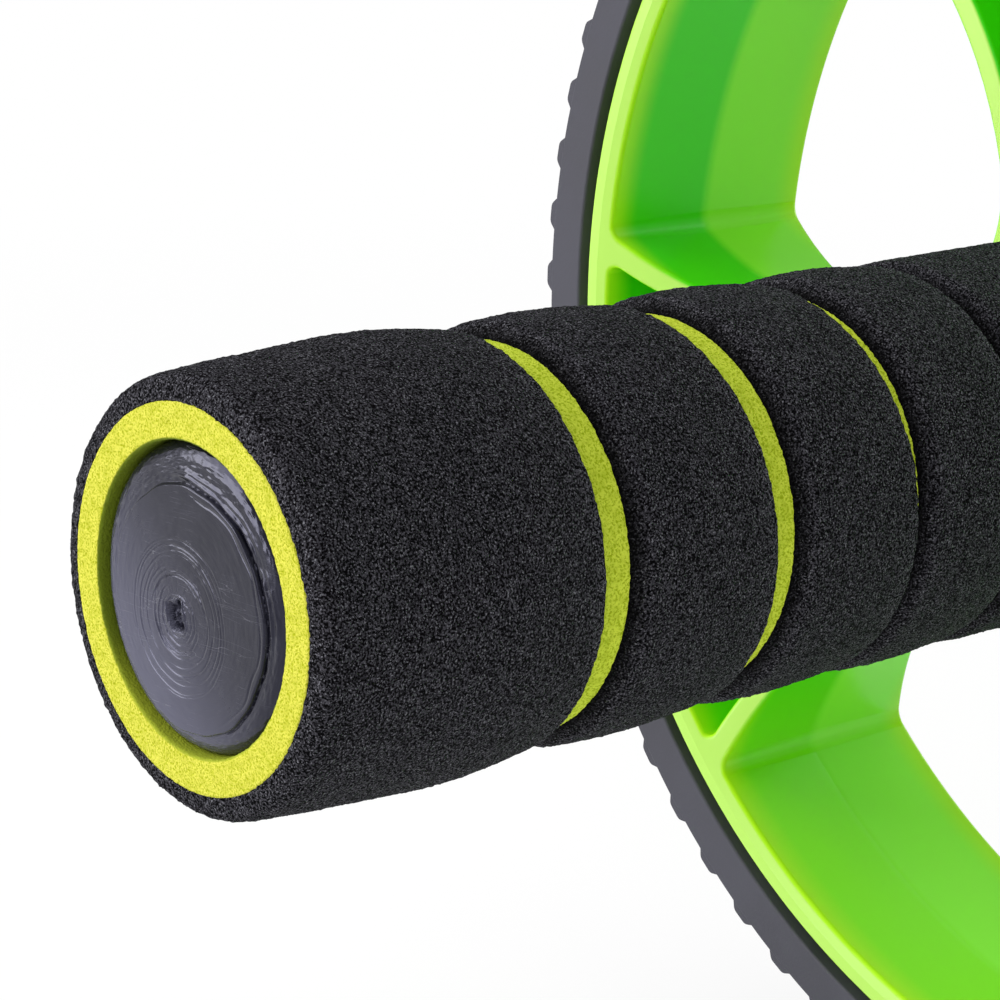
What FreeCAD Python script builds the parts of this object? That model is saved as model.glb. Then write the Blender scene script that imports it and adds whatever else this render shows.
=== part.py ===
import FreeCAD, Part
import math
import os
import types

import Sketcher

# Driving sizes in millimetres and degrees
SIZES = {
    "overall_length": 267.2,
    "axle_diameter": 12.0,
    "axle_chamfer": 1.0,
    "running_clearance": 0.05,
    "running_gap": 0.2,
    # wheel moulding
    "wheel_turn": 17.5,
    "rim_proud": 0.3,
    "rim_wall": 2.9,
    "rim_edge": 0.7,
    "moulded_edge": 0.6,
    "key_width": 10.0,
    "key_depth": 1.2,
    "key_clearance": 0.1,
    "spoke_count": 4,
    "spoke_neck": 28.0,
    "spoke_wall": 2.3,
    "flare_radius": 50.0,
    "flare_start": 33.0,
    "window_corner": 2.6,
    "window_tip": 16.0,
    "recess_corner": 1.3,
    "web_thickness": 2.4,
    "draft_angle": 1.75,
    "cut_beyond": 1.0,
    "dish_depth": 6.0,
    "dish_run": 18.9,
    "dish_round": 6.0,
    "rim_land": 1.9,
    "hub_diameter": 40.0,
    "hub_sink": 0.3,
    "hub_bore": 15.0,
    "hub_ledge": 2.5,
    "hub_draft": 0.5,
    # tyre
    "tyre_diameter": 180.4,
    "tyre_thickness": 7.7,
    "tyre_width": 32.8,
    "tyre_shoulder": 0.4,
    "rebate_width": 1.7,
    "rebate_depth": 3.2,
    "rebate_slope": 0.5,
    "rib_count": 72,
    "rib_height": 0.8,
    "rib_top": 2.3,
    "rib_root": 5.0,
    "rib_round": 1.0,
    "rib_sink": 0.6,
    # hub bushes and washers
    "bush_diameter": 20.0,
    "bush_length": 12.0,
    "bush_flange_diameter": 28.0,
    "bush_flange": 1.5,
    "bush_edge": 0.5,
    "washer_diameter": 26.0,
    "washer_thickness": 1.0,
    "washer_clearance": 0.2,
    # handle tube and its plugs
    "tube_diameter": 25.6,
    "tube_wall": 2.8,
    "tube_end_wall": 3.4,
    "end_recess": 0.45,
    "end_round": 1.7,
    "disc_land": 1.0,
    "disc_rise": 0.4,
    "disc_slope": 30.0,
    "disc_aside": 0.3,
    "disc_drop": 0.9,
    "gate_radius": 1.5,
    "gate_depth": 0.35,
    "gate_slope": 50.0,
    "gate_aside": 1.75,
    "gate_drop": 1.65,
    "collar_diameter": 35.0,
    "collar_flange": 2.5,
    "collar_plug": 22.0,
    "collar_edge": 0.8,
    "socket_length": 14.0,
    "socket_floor": 2.0,
    "socket_depth": 18.0,
    # foam grip: lime layer, ring grooves, and black layer heights above the lime
    "lime_diameter": 34.2,
    "lime_end_drop": 1.2,
    "lime_end_run": 3.0,
    "ring_first": 28.0,
    "ring_pitch": 19.4,
    "ring_pitch_step": 1.9,
    "ring_wall_run": 0.45,
    "ring_floor_run": 0.35,
    "stripe_width": 3.5,
    "stripe_step": 0.75,
    "stripe_depth": 0.5,
    "lip_rise": 1.2,
    "lip_round": 0.5,
    "crown_rise": 1.75,
    "crown_round": 60.0,
    "shoulder_rise": 1.45,
    "shoulder_run": 1.4,
    "shoulder_round": 1.5,
    "nose_rise": 2.15,
    "nose_reach": 20.0,
    "nose_bevel_rise": 0.9,
    "nose_bevel_run": 0.4,
    "nose_bevel_round": 1.5,
    "nose_cheek_rise": 1.3,
    "nose_cheek_run": 5.0,
    "nose_cheek_round": 8.0,
    "tail_round": 0.9,
}
BAND_COUNT = 5
FULL_TURN = 360.0


class Size:
    """A number together with the sheet formula that gives it."""

    def __init__(self, value, formula):
        self.value = float(value)
        self.formula = formula

    def __add__(self, other):
        other = as_size(other)
        return Size(self.value + other.value, f"({self.formula} + {other.formula})")

    def __sub__(self, other):
        other = as_size(other)
        return Size(self.value - other.value, f"({self.formula} - {other.formula})")

    def __mul__(self, other):
        other = as_size(other)
        return Size(self.value * other.value, f"({self.formula} * {other.formula})")

    def __truediv__(self, other):
        other = as_size(other)
        return Size(self.value / other.value, f"({self.formula} / {other.formula})")

    def __neg__(self):
        return Size(-self.value, f"(-{self.formula})")


def as_size(number):
    """Give a plain number the same form as a size."""
    if isinstance(number, Size):
        return number
    return Size(number, f"{number:g}")


ZERO = as_size(0.0)
doc = FreeCAD.newDocument("ab_wheel_roller")
sheet = doc.addObject("Spreadsheet::Sheet", "Sizes")
for row, (alias, number) in enumerate(SIZES.items(), start=1):
    sheet.set(f"A{row}", alias)
    sheet.set(f"B{row}", f"{number:g}")
    sheet.setAlias(f"B{row}", alias)
doc.recompute()
S = types.SimpleNamespace(**{name: Size(number, f"Sizes.{name}") for name, number in SIZES.items()})

# Sizes that follow from the driving ones
axle_r = S.axle_diameter / 2
half_length = S.overall_length / 2
tyre_r = S.tyre_diameter / 2
rim_r = tyre_r - S.tyre_thickness
tyre_half = S.tyre_width / 2
rim_half = tyre_half + S.rim_proud
rim_in_r = rim_r - S.rim_wall
hub_r = S.hub_diameter / 2
hub_half = rim_half - S.hub_sink
bush_r = S.bush_diameter / 2
valley_r = tyre_r - S.rib_height
key_half = S.key_width / 2
tube_r = S.tube_diameter / 2
tube_in_r = tube_r - S.tube_wall
disc_r = tube_r - S.end_round - S.disc_land
lime_r = S.lime_diameter / 2
flange_face = hub_half + S.bush_flange
washer_in = flange_face + S.running_gap
washer_out = washer_in + S.washer_thickness
grip_in = washer_out + S.collar_flange


def from_end(depth):
    """Axial place at a depth measured inward from the outer end of a grip."""
    return half_length - depth


# Sketch helpers
def origin_part(body, role):
    """Find a plane or an axis of the body's own origin."""
    return next(part for part in body.Origin.OriginFeatures if part.Role == role)


def new_sketch(body, name, role):
    """Start a sketch on one of the body's origin planes."""
    sketch = body.newObject("Sketcher::SketchObject", name)
    sketch.AttachmentSupport = [(origin_part(body, role), "")]
    sketch.MapMode = "FlatFace"
    return sketch


def drive(sketch, constraint, formula):
    """Add a constraint whose number comes from the sheet."""
    index = sketch.addConstraint(constraint)
    sketch.setExpression(f"Constraints[{index}]", formula)


def place(sketch, geo, pos, x, y):
    """Hold one sketch point at sheet-driven distances from the origin."""
    for kind, axis, size in (("DistanceX", -2, x), ("DistanceY", -1, y)):
        if abs(size.value) < 1e-9:
            sketch.addConstraint(Sketcher.Constraint("PointOnObject", geo, pos, axis))
        elif size.value > 0:
            drive(sketch, Sketcher.Constraint(kind, -1, 1, geo, pos, size.value), size.formula)
        else:
            reverse = -size
            drive(sketch, Sketcher.Constraint(kind, geo, pos, -1, 1, reverse.value), reverse.formula)


def vector(x, y):
    return FreeCAD.Vector(x, y, 0)


def draw_corners(sketch, corners):
    """Draw a closed outline from corners of (x, y, rounding)."""
    count = len(corners)
    spots = [vector(x.value, y.value) for x, y, _ in corners]
    ends = []
    for i, (_, _, rounding) in enumerate(corners):
        back = (spots[i - 1] - spots[i]).normalize()
        ahead = (spots[(i + 1) % count] - spots[i]).normalize()
        if rounding is None:
            ends.append((spots[i], spots[i], None))
            continue
        half = back.getAngle(ahead) / 2
        reach = rounding.value / math.tan(half)
        middle = spots[i] + (back + ahead).normalize() * (rounding.value / math.sin(half))
        ends.append((spots[i] + back * reach, spots[i] + ahead * reach, middle))
    lines = []
    for i in range(count):
        segment = Part.LineSegment(ends[i][1], ends[(i + 1) % count][0])
        lines.append(sketch.addGeometry(segment, False))
    for i, (x, y, rounding) in enumerate(corners):
        before, after = lines[i - 1], lines[i]
        enter, leave, middle = ends[i]
        if rounding is None:
            sketch.addConstraint(Sketcher.Constraint("Coincident", before, 2, after, 1))
            place(sketch, after, 1, x, y)
            continue
        first = math.atan2(enter.y - middle.y, enter.x - middle.x)
        last = math.atan2(leave.y - middle.y, leave.x - middle.x)
        leftward = (enter - middle).cross(leave - middle).z > 0
        span = (first, last) if leftward else (last, first)
        circle = Part.Circle(middle, FreeCAD.Vector(0, 0, 1), rounding.value)
        arc = sketch.addGeometry(Part.ArcOfCircle(circle, *span), False)
        start, finish = (1, 2) if leftward else (2, 1)
        corner = sketch.addGeometry(Part.Point(spots[i]), True)
        place(sketch, corner, 1, x, y)
        sketch.addConstraint(Sketcher.Constraint("PointOnObject", corner, 1, before))
        sketch.addConstraint(Sketcher.Constraint("PointOnObject", corner, 1, after))
        sketch.addConstraint(Sketcher.Constraint("Tangent", before, 2, arc, start))
        sketch.addConstraint(Sketcher.Constraint("Tangent", arc, finish, after, 1))
        drive(sketch, Sketcher.Constraint("Radius", arc, rounding.value), rounding.formula)


def meeting(first, first_reach, second, second_reach, near):
    """Point at the two given distances from two centres, on the side of a third point."""
    apart = (second - first).Length
    along = (first_reach**2 - second_reach**2 + apart**2) / (2 * apart)
    aside = math.sqrt(max(first_reach**2 - along**2, 0.0))
    axis = (second - first).normalize()
    foot = first + axis * along
    normal = vector(-axis.y, axis.x) * aside
    return min((foot + normal, foot - normal), key=lambda spot: (spot - near).Length)


def draw_arcs(sketch, chain):
    """Draw a closed outline of touching arcs, each (middle, radius, leftward, held place or None)."""
    count = len(chain)
    touch = []
    for i in range(count):
        main, other = chain[i], chain[(i + 1) % count]
        if main[3] is None:
            main, other = other, main
        touch.append(main[0] + (other[0] - main[0]).normalize() * main[1].value)
    arcs = []
    for i, (middle, radius, leftward, _) in enumerate(chain):
        enter, leave = touch[i - 1] - middle, touch[i] - middle
        first = math.atan2(enter.y, enter.x)
        last = math.atan2(leave.y, leave.x)
        span = (first, last) if leftward else (last, first)
        circle = Part.Circle(middle, FreeCAD.Vector(0, 0, 1), radius.value)
        arcs.append(sketch.addGeometry(Part.ArcOfCircle(circle, *span), False))
    for i, (_, radius, leftward, held) in enumerate(chain):
        after = (i + 1) % count
        leave = 2 if leftward else 1
        enter = 1 if chain[after][2] else 2
        sketch.addConstraint(Sketcher.Constraint("Tangent", arcs[i], leave, arcs[after], enter))
        drive(sketch, Sketcher.Constraint("Radius", arcs[i], radius.value), radius.formula)
        if held is not None:
            place(sketch, arcs[i], 3, *held)


# Feature helpers
def turn(body, name, corners):
    """Turn an outline of (radius, axial place, rounding) about the axle line."""
    sketch = new_sketch(body, f"{name}_outline", "XY_Plane")
    draw_corners(sketch, corners)
    solid = body.newObject("PartDesign::Revolution", f"{name}_turned")
    solid.Profile = sketch
    solid.ReferenceAxis = (sketch, ["V_Axis"])
    solid.Angle = FULL_TURN
    sketch.Visibility = False
    return solid


def mirror(body, name, feature):
    """Repeat a feature on the other side of the middle plane."""
    other = body.newObject("PartDesign::Mirrored", name)
    other.Originals = [feature]
    other.MirrorPlane = (origin_part(body, "XZ_Plane"), [""])
    body.Tip = other
    return other


def ring_of(body, name, features, number):
    """Repeat features evenly around the axle line."""
    pattern = body.newObject("PartDesign::PolarPattern", name)
    pattern.Originals = features
    pattern.Axis = (origin_part(body, "Y_Axis"), [""])
    pattern.Angle = FULL_TURN
    body.Tip = pattern
    pattern.setExpression("Occurrences", number.formula)
    return pattern


def cut_both_ways(body, name, sketch, depth):
    """Cut an outline from the middle plane outward to both faces, opening with the mould draft."""
    cut = body.newObject("PartDesign::Pocket", name)
    cut.Profile = sketch
    cut.SideType = "Two sides"
    cut.setExpression("Length", depth.formula)
    cut.setExpression("Length2", depth.formula)
    cut.setExpression("TaperAngle", f"-{S.draft_angle.formula}")
    cut.setExpression("TaperAngle2", f"-{S.draft_angle.formula}")
    return cut


def across_axle(body, name, level, aside, up, radius):
    """Draw a circle square to the axle line, at an axial place and beside that line."""
    sketch = new_sketch(body, f"{name}_outline", "XZ_Plane")
    sketch.setExpression("AttachmentOffset.Base.z", f"-{level.formula}")
    round_line = Part.Circle(vector(aside.value, up.value), FreeCAD.Vector(0, 0, 1), radius.value)
    circle = sketch.addGeometry(round_line, False)
    place(sketch, circle, 3, aside, up)
    drive(sketch, Sketcher.Constraint("Radius", circle, radius.value), radius.formula)
    sketch.Visibility = False
    return sketch


def sloped(body, kind, name, sketch, length, slope):
    """Raise or sink an outline along the axle line, narrowing by a slope."""
    feature = body.newObject(f"PartDesign::{kind}", name)
    feature.Profile = sketch
    feature.Reversed = True
    feature.setExpression("Length", length.formula)
    feature.setExpression("TaperAngle", f"-{slope.formula}")
    return feature


def new_body(label):
    body = doc.addObject("PartDesign::Body", label)
    body.Label = label
    return body


def face_side(body, side):
    """Leave a piece on the right, or swing it round to the left."""
    angle = 0.0 if side == "right" else 180.0
    body.Placement = FreeCAD.Placement(vector(0, 0), FreeCAD.Rotation(FreeCAD.Vector(0, 0, 1), angle))


def set_wheel_turn(body):
    """Stand the wheel at its resting angle."""
    body.Placement = FreeCAD.Placement(
        vector(0, 0), FreeCAD.Rotation(FreeCAD.Vector(0, -1, 0), S.wheel_turn.value)
    )
    body.setExpression("Placement.Rotation.Angle", S.wheel_turn.formula)


# Green wheel moulding: turned dish, drafted windows, hollow spokes
wheel = new_body("wheel_body")
dish_in_r = rim_r - S.rim_land
dish_face = rim_half - S.dish_depth
half_wheel = turn(
    wheel,
    "half_wheel",
    [
        (S.hub_bore / 2, ZERO, None),
        (rim_r - S.key_depth, ZERO, None),
        (rim_r - S.key_depth, key_half, None),
        (rim_r, key_half, None),
        (rim_r, rim_half, S.rim_edge),
        (dish_in_r, rim_half, None),
        (rim_r - S.dish_run, dish_face, S.dish_round),
        (hub_r + S.hub_draft, dish_face, None),
        (hub_r, hub_half, S.rim_edge),
        (bush_r, hub_half, None),
        (bush_r, hub_half - S.bush_length, None),
        (S.hub_bore / 2, hub_half - S.bush_length, None),
    ],
)
mirror(wheel, "whole_wheel", half_wheel)

flare_mid = S.spoke_neck / 2 + S.flare_radius
centre = vector(0, 0)
past_rim = vector(tyre_r.value, 0)
flare_a = vector(S.flare_start.value, flare_mid.value)
flare_b = vector(flare_mid.value, S.flare_start.value)
reach_rim = rim_in_r.value - S.window_corner.value
reach_flare = S.flare_radius.value - S.window_corner.value
reach_tip = S.flare_radius.value - S.window_tip.value
corner_a = meeting(centre, reach_rim, flare_a, reach_flare, past_rim)
corner_b = vector(corner_a.y, corner_a.x)
tip = meeting(flare_a, reach_tip, flare_b, reach_tip, centre)
window_sketch = new_sketch(wheel, "window_outline", "XZ_Plane")
draw_arcs(
    window_sketch,
    [
        (centre, rim_in_r, True, (ZERO, ZERO)),
        (corner_b, S.window_corner, True, None),
        (flare_b, S.flare_radius, True, (flare_mid, S.flare_start)),
        (tip, S.window_tip, True, None),
        (flare_a, S.flare_radius, True, (S.flare_start, flare_mid)),
        (corner_a, S.window_corner, True, None),
    ],
)
window = cut_both_ways(wheel, "window", window_sketch, rim_half + S.cut_beyond)

hollow_r = S.flare_radius + S.spoke_wall
hub_ring_r = hub_r + S.hub_ledge
low_flare = vector(S.flare_start.value, -flare_mid.value)
reach_rim = rim_in_r.value - S.recess_corner.value
reach_hollow = hollow_r.value + S.recess_corner.value
reach_hub = hub_ring_r.value + S.recess_corner.value
rim_corner = meeting(centre, reach_rim, flare_a, reach_hollow, past_rim)
hub_corner = meeting(centre, reach_hub, flare_a, reach_hollow, past_rim)
recesses = []
for face in ("front", "back"):
    sketch = new_sketch(wheel, f"recess_{face}_outline", "XZ_Plane")
    draw_arcs(
        sketch,
        [
            (centre, rim_in_r, True, (ZERO, ZERO)),
            (rim_corner, S.recess_corner, True, None),
            (flare_a, hollow_r, False, (S.flare_start, flare_mid)),
            (hub_corner, S.recess_corner, True, None),
            (centre, hub_ring_r, False, (ZERO, ZERO)),
            (vector(hub_corner.x, -hub_corner.y), S.recess_corner, True, None),
            (low_flare, hollow_r, False, (S.flare_start, -flare_mid)),
            (vector(rim_corner.x, -rim_corner.y), S.recess_corner, True, None),
        ],
    )
    half_web = S.web_thickness / 2
    shift = half_web if face == "front" else -half_web
    sketch.setExpression("AttachmentOffset.Base.z", shift.formula)
    recess = wheel.newObject("PartDesign::Pocket", f"recess_{face}")
    recess.Profile = sketch
    recess.SideType = "One side"
    recess.Reversed = face == "front"
    recess.setExpression("Length", rim_half.formula)
    recess.setExpression("TaperAngle", f"-{S.draft_angle.formula}")
    recesses.append(recess)
spokes = ring_of(wheel, "spokes", [window] + recesses, S.spoke_count)
doc.recompute()


def is_drafted_wall(face):
    """Tell a steep moulded wall from the shallow dish of the wheel."""
    surface = face.Surface
    return isinstance(surface, Part.Cone) and abs(surface.SemiAngle) < math.radians(10.0)


def dish_edges(shape):
    """Name the edges where spoke and rim walls meet the dished faces."""
    names = []
    for number, edge in enumerate(shape.Edges, start=1):
        faces = shape.ancestorsOfType(edge, Part.Face)
        if len(faces) != 2 or is_drafted_wall(faces[0]) == is_drafted_wall(faces[1]):
            continue
        middle = edge.valueAt((edge.FirstParameter + edge.LastParameter) / 2)
        outside = math.hypot(middle.x, middle.z) > hub_r.value + S.hub_ledge.value / 2
        if outside and abs(middle.y) > dish_face.value - 0.1:
            names.append(f"Edge{number}")
    return names


rounding = wheel.newObject("PartDesign::Fillet", "edge_rounding")
rounding.Base = (spokes, dish_edges(spokes.Shape))
rounding.setExpression("Radius", S.moulded_edge.formula)
wheel.Tip = rounding
set_wheel_turn(wheel)

# Tyre: turned ring with a locating key, then the cross ribs
tyre = new_body("tyre")
key_in_r = rim_r - S.key_depth + S.key_clearance
key_side = key_half - S.key_clearance
half_tyre = turn(
    tyre,
    "half_tyre",
    [
        (key_in_r, ZERO, None),
        (valley_r, ZERO, None),
        (valley_r, tyre_half, S.tyre_shoulder),
        (rim_r + S.rebate_width, tyre_half, S.tyre_shoulder),
        (rim_r + S.rebate_width - S.rebate_slope, tyre_half - S.rebate_depth, None),
        (rim_r, tyre_half - S.rebate_depth - S.rebate_slope, None),
        (rim_r, key_side, None),
        (key_in_r, key_side, None),
    ],
)
mirror(tyre, "whole_tyre", half_tyre)
rib_sketch = new_sketch(tyre, "rib_outline", "XZ_Plane")
rib_low = valley_r - S.rib_sink
draw_corners(
    rib_sketch,
    [
        (rib_low, -(S.rib_root / 2), None),
        (tyre_r, -(S.rib_top / 2), S.rib_round),
        (tyre_r, S.rib_top / 2, S.rib_round),
        (rib_low, S.rib_root / 2, None),
    ],
)
rib = tyre.newObject("PartDesign::Pad", "rib")
rib.Profile = rib_sketch
rib.SideType = "Symmetric"
rib_length = S.tyre_width - S.tyre_shoulder
rib.setExpression("Length", rib_length.formula)
ring_of(tyre, "ribs", [rib], S.rib_count)
set_wheel_turn(tyre)

# Axle rod
axle = new_body("axle_rod")
axle_end = from_end(S.socket_depth)
half_axle = turn(
    axle,
    "half_axle",
    [
        (ZERO, ZERO, None),
        (axle_r, ZERO, None),
        (axle_r, axle_end - S.axle_chamfer, None),
        (axle_r - S.axle_chamfer, axle_end, None),
        (ZERO, axle_end, None),
    ],
)
mirror(axle, "whole_axle", half_axle)

# Places of the ring grooves along a grip, measured from its outer end
ring_lips = []
stripe_ends = []
for index in range(BAND_COUNT - 1):
    lip = S.ring_first + S.ring_pitch * index - S.ring_pitch_step * (index * (index - 1) / 2)
    ring_lips.append(lip)
    stripe_ends.append(lip + S.stripe_width - S.stripe_step * index)
lime_end_r = lime_r - S.lime_end_drop
lip_r = lime_r + S.lip_rise
crown_r = lime_r + S.crown_rise


def build_handle(side):
    """Build every piece of one handle."""
    bush = new_body(f"hub_bush_{side}")
    bush_bore = axle_r + S.running_clearance
    bush_flange_r = S.bush_flange_diameter / 2
    turn(
        bush,
        f"bush_{side}",
        [
            (bush_bore, hub_half - S.bush_length, None),
            (bush_r, hub_half - S.bush_length, S.bush_edge),
            (bush_r, hub_half, None),
            (bush_flange_r, hub_half, None),
            (bush_flange_r, flange_face, S.bush_edge),
            (bush_bore, flange_face, None),
        ],
    )
    face_side(bush, side)

    washer = new_body(f"thrust_washer_{side}")
    washer_bore = axle_r + S.washer_clearance
    turn(
        washer,
        f"washer_{side}",
        [
            (washer_bore, washer_in, None),
            (S.washer_diameter / 2, washer_in, None),
            (S.washer_diameter / 2, washer_out, None),
            (washer_bore, washer_out, None),
        ],
    )
    face_side(washer, side)

    collar = new_body(f"handle_collar_{side}")
    turn(
        collar,
        f"collar_{side}",
        [
            (axle_r, washer_out, None),
            (S.collar_diameter / 2, washer_out, S.collar_edge),
            (S.collar_diameter / 2, grip_in, S.collar_edge),
            (tube_in_r, grip_in, None),
            (tube_in_r, grip_in + S.collar_plug, None),
            (axle_r, grip_in + S.collar_plug, None),
        ],
    )
    face_side(collar, side)

    socket = new_body(f"axle_socket_{side}")
    socket_out = axle_end + S.socket_floor
    turn(
        socket,
        f"socket_{side}",
        [
            (ZERO, axle_end, None),
            (axle_r, axle_end, None),
            (axle_r, socket_out - S.socket_length, None),
            (tube_in_r, socket_out - S.socket_length, None),
            (tube_in_r, socket_out, S.bush_edge),
            (ZERO, socket_out, None),
        ],
    )
    face_side(socket, side)

    tube = new_body(f"handle_tube_{side}")
    annulus = from_end(S.end_recess)
    disc_top = annulus + S.disc_rise
    cavity_end = annulus - S.tube_end_wall
    turn(
        tube,
        f"tube_{side}",
        [
            (ZERO, cavity_end, None),
            (tube_in_r, cavity_end, S.end_round),
            (tube_in_r, grip_in, None),
            (tube_r, grip_in, None),
            (tube_r, annulus, S.end_round),
            (ZERO, annulus, None),
        ],
    )
    disc_line = across_axle(tube, f"disc_{side}", annulus, S.disc_aside, -S.disc_drop, disc_r)
    sloped(tube, "Pad", f"disc_{side}_raised", disc_line, S.disc_rise, S.disc_slope)
    gate_line = across_axle(tube, f"gate_{side}", disc_top, S.gate_aside, -S.gate_drop, S.gate_radius)
    sloped(tube, "Pocket", f"gate_{side}_sunk", gate_line, S.gate_depth, S.gate_slope)
    face_side(tube, side)

    sleeve = new_body(f"grip_sleeve_{side}")
    profile = [
        (tube_r, half_length, None),
        (lime_end_r, half_length, None),
        (lime_r, from_end(S.lime_end_run), None),
    ]
    for lip, stripe_end in zip(ring_lips, stripe_ends):
        wall_foot = lip + S.ring_wall_run
        profile.append((lime_r, from_end(wall_foot), None))
        profile.append((lime_r - S.stripe_depth, from_end(wall_foot + S.ring_floor_run), None))
        profile.append((lime_r, from_end(stripe_end), None))
    profile.append((lime_r, grip_in, None))
    profile.append((tube_r, grip_in, None))
    turn(sleeve, f"sleeve_{side}", profile)
    face_side(sleeve, side)

    for index in range(BAND_COUNT):
        band = new_body(f"grip_band_{side}_{index + 1}")
        profile = []
        if index == 0:
            profile.append((lime_r, from_end(S.lime_end_run), None))
            profile.append((lime_end_r, half_length, None))
            profile.append((lime_r + S.nose_bevel_rise, from_end(S.nose_bevel_run), S.nose_bevel_round))
            profile.append((lime_r + S.nose_cheek_rise, from_end(S.nose_cheek_run), S.nose_cheek_round))
            profile.append((lime_r + S.nose_rise, from_end(S.nose_reach), S.crown_round))
        else:
            start = stripe_ends[index - 1]
            profile.append((lime_r, from_end(start), None))
            profile.append((lime_r + S.shoulder_rise, from_end(start + S.shoulder_run), S.shoulder_round))
        if index < BAND_COUNT - 1:
            lip = ring_lips[index]
            if index > 0:
                middle = (stripe_ends[index - 1] + lip) / 2
                profile.append((crown_r, from_end(middle), S.crown_round))
            profile.append((lip_r, from_end(lip), S.lip_round))
            profile.append((lime_r, from_end(lip + S.ring_wall_run), None))
        else:
            profile.append((crown_r, grip_in, S.tail_round))
            profile.append((lime_r, grip_in, None))
        turn(band, f"band_{side}_{index + 1}", profile)
        face_side(band, side)


for side in ("left", "right"):
    build_handle(side)

# Check every feature, then write one file for each piece
doc.recompute()
for item in doc.Objects:
    if "Invalid" in item.State or "Error" in item.State:
        raise RuntimeError(f"{item.Label} did not build: {item.State}")
os.makedirs("parts", exist_ok=True)
for item in doc.Objects:
    if item.TypeId != "PartDesign::Body":
        continue
    if item.Shape.isNull() or not item.Shape.isValid():
        raise RuntimeError(f"{item.Label} has no valid shape")
    item.Shape.exportStep(f"parts/{item.Label}.step")
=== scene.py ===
"""Looks of an ab wheel roller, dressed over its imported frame.

The wheel, tyre, axle, bushes, washers, collars and sockets keep their own solids and get
their finishes here. The foam of the two grips and the two handle tubes are modelled again
in full detail and stand in for their solids.
"""

import logging
import math
from collections.abc import Sequence
from dataclasses import dataclass
from enum import Enum
from functools import cache
from typing import Any, NamedTuple

import bpy
import numpy as np
from mathutils import Matrix, Vector


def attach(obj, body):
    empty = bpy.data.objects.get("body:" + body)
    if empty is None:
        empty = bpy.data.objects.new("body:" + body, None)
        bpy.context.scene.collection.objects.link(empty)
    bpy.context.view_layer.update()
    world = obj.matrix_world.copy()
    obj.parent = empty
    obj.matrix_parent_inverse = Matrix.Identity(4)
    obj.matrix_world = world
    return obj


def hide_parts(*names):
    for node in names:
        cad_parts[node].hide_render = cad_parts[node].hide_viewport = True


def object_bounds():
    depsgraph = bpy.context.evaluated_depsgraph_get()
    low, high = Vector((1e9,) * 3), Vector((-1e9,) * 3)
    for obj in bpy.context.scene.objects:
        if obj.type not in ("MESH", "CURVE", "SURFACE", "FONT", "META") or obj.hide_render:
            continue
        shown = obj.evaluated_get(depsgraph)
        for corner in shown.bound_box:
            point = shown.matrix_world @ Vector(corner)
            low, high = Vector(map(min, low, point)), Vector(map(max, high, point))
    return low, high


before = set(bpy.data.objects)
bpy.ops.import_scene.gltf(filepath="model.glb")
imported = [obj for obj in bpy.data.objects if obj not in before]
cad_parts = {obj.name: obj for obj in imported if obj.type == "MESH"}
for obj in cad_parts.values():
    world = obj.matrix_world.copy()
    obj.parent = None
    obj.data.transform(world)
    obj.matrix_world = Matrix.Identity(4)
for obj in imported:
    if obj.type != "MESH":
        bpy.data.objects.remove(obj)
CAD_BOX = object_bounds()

LOG = logging.getLogger("ab_wheel_roller")
BAKE_MAP = "OFBake"
# mesh attribute that holds the black foam's painted groove shade and painted lip highlight
PAINTED_SHADE_AND_HIGHLIGHT = "painted_groove_shade_and_lip_highlight"
MM = 0.001
MOST_CUT = 0.48
ARC_POINTS = 9
WHITE = (1.0, 1.0, 1.0, 1.0)
CLOUD_SPAN = (0.3, 0.7)

Colour = tuple[float, float, float]
Place = tuple[float, float, float]
Range = tuple[float, float]
Grid = np.ndarray
Draw = np.random.Generator
Socket = bpy.types.NodeSocket
Node = bpy.types.Node
Group = bpy.types.NodeTree
Piece = bpy.types.Object


# Choices


class Side(Enum):
    """The two handles. The left one is the near one in the photograph."""

    LEFT = "left"
    RIGHT = "right"

    @property
    def turn(self) -> Grid:
        """Factors that swing a left-hand shape round to this side."""
        return np.array([1.0, 1.0, 1.0] if self is Side.LEFT else [-1.0, -1.0, 1.0])

    @property
    def grip_seed(self) -> int:
        """Seed of the foam grain on this side."""
        return 11 if self is Side.LEFT else 211


class BodyName(str, Enum):
    """Moving bodies that new pieces ride on."""

    HANDLEBAR = "handlebar"


class SlotName(str, Enum):
    """Material slot names of the part's record, not used by the pieces built here."""

    HANDLE_PLASTIC = "handle_plastic"
    LIME_FOAM = "lime_foam"
    BLACK_FOAM = "black_foam"


# Node wiring


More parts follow.
